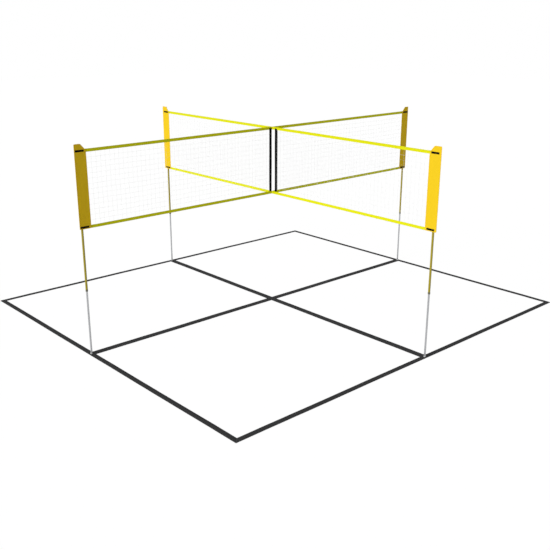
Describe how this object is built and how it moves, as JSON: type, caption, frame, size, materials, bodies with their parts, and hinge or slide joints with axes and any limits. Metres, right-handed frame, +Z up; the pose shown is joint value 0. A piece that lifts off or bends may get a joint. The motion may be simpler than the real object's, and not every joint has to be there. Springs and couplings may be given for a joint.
{
  "type": "volleyball net on poles",
  "caption": "Crossed volleyball nets hung on telescopic poles with twist locks, over a court laid out in flat webbing.",
  "frame": {"origin": "on the ground, in the middle of the crossing of the court's two inner lines", "axes": "+Z up; +Y along the longer inner line, from the south pole to the north pole; +X along the other inner line to the east pole"},
  "size_m": [5.262, 5.746, 2.49],
  "materials": {
    "court_webbing": "woven, matt",
    "foot_rubber": "matt",
    "bare_tube": "drawn, satin",
    "guide_plastic": "moulded",
    "painted_tube": "powder coat",
    "lock_plastic": "moulded",
    "cap_plastic": "moulded",
    "panel_cloth": "coated weave",
    "strap_webbing": "woven",
    "mesh_cord": "braided",
    "band_webbing": "woven",
    "tape_cloth": "coated weave"
  },
  "bodies": {
    "court": {"court_line_south": "court_webbing", "court_line_east": "court_webbing", "court_line_north": "court_webbing", "court_line_west": "court_webbing", "cross_line_through": "court_webbing", "cross_line_east": "court_webbing", "cross_line_west": "court_webbing", "foot_south": "foot_rubber", "lower_tube_south": "bare_tube", "guide_bush_south": "guide_plastic", "foot_east": "foot_rubber", "lower_tube_east": "bare_tube", "guide_bush_east": "guide_plastic", "foot_north": "foot_rubber", "lower_tube_north": "bare_tube", "guide_bush_north": "guide_plastic", "foot_west": "foot_rubber", "lower_tube_west": "bare_tube", "guide_bush_west": "guide_plastic"},
    "net": {"top_tape_through": "tape_cloth", "top_tape_east": "tape_cloth", "top_tape_west": "tape_cloth", "bottom_tape_through": "tape_cloth", "bottom_tape_east": "tape_cloth", "bottom_tape_west": "tape_cloth", "side_panel_south": "panel_cloth", "panel_straps_south": "strap_webbing", "net_mesh_south": "mesh_cord", "centre_band_south": "band_webbing", "side_panel_east": "panel_cloth", "panel_straps_east": "strap_webbing", "net_mesh_east": "mesh_cord", "centre_band_east": "band_webbing", "side_panel_north": "panel_cloth", "panel_straps_north": "strap_webbing", "net_mesh_north": "mesh_cord", "centre_band_north": "band_webbing", "side_panel_west": "panel_cloth", "panel_straps_west": "strap_webbing", "net_mesh_west": "mesh_cord", "centre_band_west": "band_webbing"},
    "pole_south": {"upper_tube_south": "painted_tube", "lock_body_south": "lock_plastic", "top_cap_south": "cap_plastic"},
    "pole_east": {"upper_tube_east": "painted_tube", "lock_body_east": "lock_plastic", "top_cap_east": "cap_plastic"},
    "pole_north": {"upper_tube_north": "painted_tube", "lock_body_north": "lock_plastic", "top_cap_north": "cap_plastic"},
    "pole_west": {"upper_tube_west": "painted_tube", "lock_body_west": "lock_plastic", "top_cap_west": "cap_plastic"},
    "lock_south": {"lock_ring_south": "lock_plastic"},
    "lock_east": {"lock_ring_east": "lock_plastic"},
    "lock_north": {"lock_ring_north": "lock_plastic"},
    "lock_west": {"lock_ring_west": "lock_plastic"}
  },
  "joints": [
    {"name": "net_height", "type": "slide", "parent": "court", "child": "net", "axis": [0, 0, 1], "range_m": [-0.43, 0]},
    {"name": "telescope_south", "type": "slide", "parent": "court", "child": "pole_south", "axis": [0, 0, 1], "range_m": [-0.43, 0]},
    {"name": "telescope_east", "type": "slide", "parent": "court", "child": "pole_east", "axis": [0, 0, 1], "range_m": [-0.43, 0]},
    {"name": "telescope_north", "type": "slide", "parent": "court", "child": "pole_north", "axis": [0, 0, 1], "range_m": [-0.43, 0]},
    {"name": "telescope_west", "type": "slide", "parent": "court", "child": "pole_west", "axis": [0, 0, 1], "range_m": [-0.43, 0]},
    {"name": "lock_turn_south", "type": "hinge", "parent": "pole_south", "child": "lock_south", "pos_m": [0, -2.88, 0.8], "axis": [0, 0, 1], "range_deg": [-180, 0]},
    {"name": "lock_turn_east", "type": "hinge", "parent": "pole_east", "child": "lock_east", "pos_m": [2.7, 0, 0.8], "axis": [0, 0, 1], "range_deg": [-180, 0]},
    {"name": "lock_turn_north", "type": "hinge", "parent": "pole_north", "child": "lock_north", "pos_m": [0, 2.79, 0.8], "axis": [0, 0, 1], "range_deg": [-180, 0]},
    {"name": "lock_turn_west", "type": "hinge", "parent": "pole_west", "child": "lock_west", "pos_m": [-2.45, 0, 0.8], "axis": [0, 0, 1], "range_deg": [-180, 0]}
  ],
  "couplings": [
    {"joint": "telescope_south", "follows": "net_height", "ratio": 1},
    {"joint": "telescope_east", "follows": "net_height", "ratio": 1},
    {"joint": "telescope_north", "follows": "net_height", "ratio": 1},
    {"joint": "telescope_west", "follows": "net_height", "ratio": 1}
  ]
}
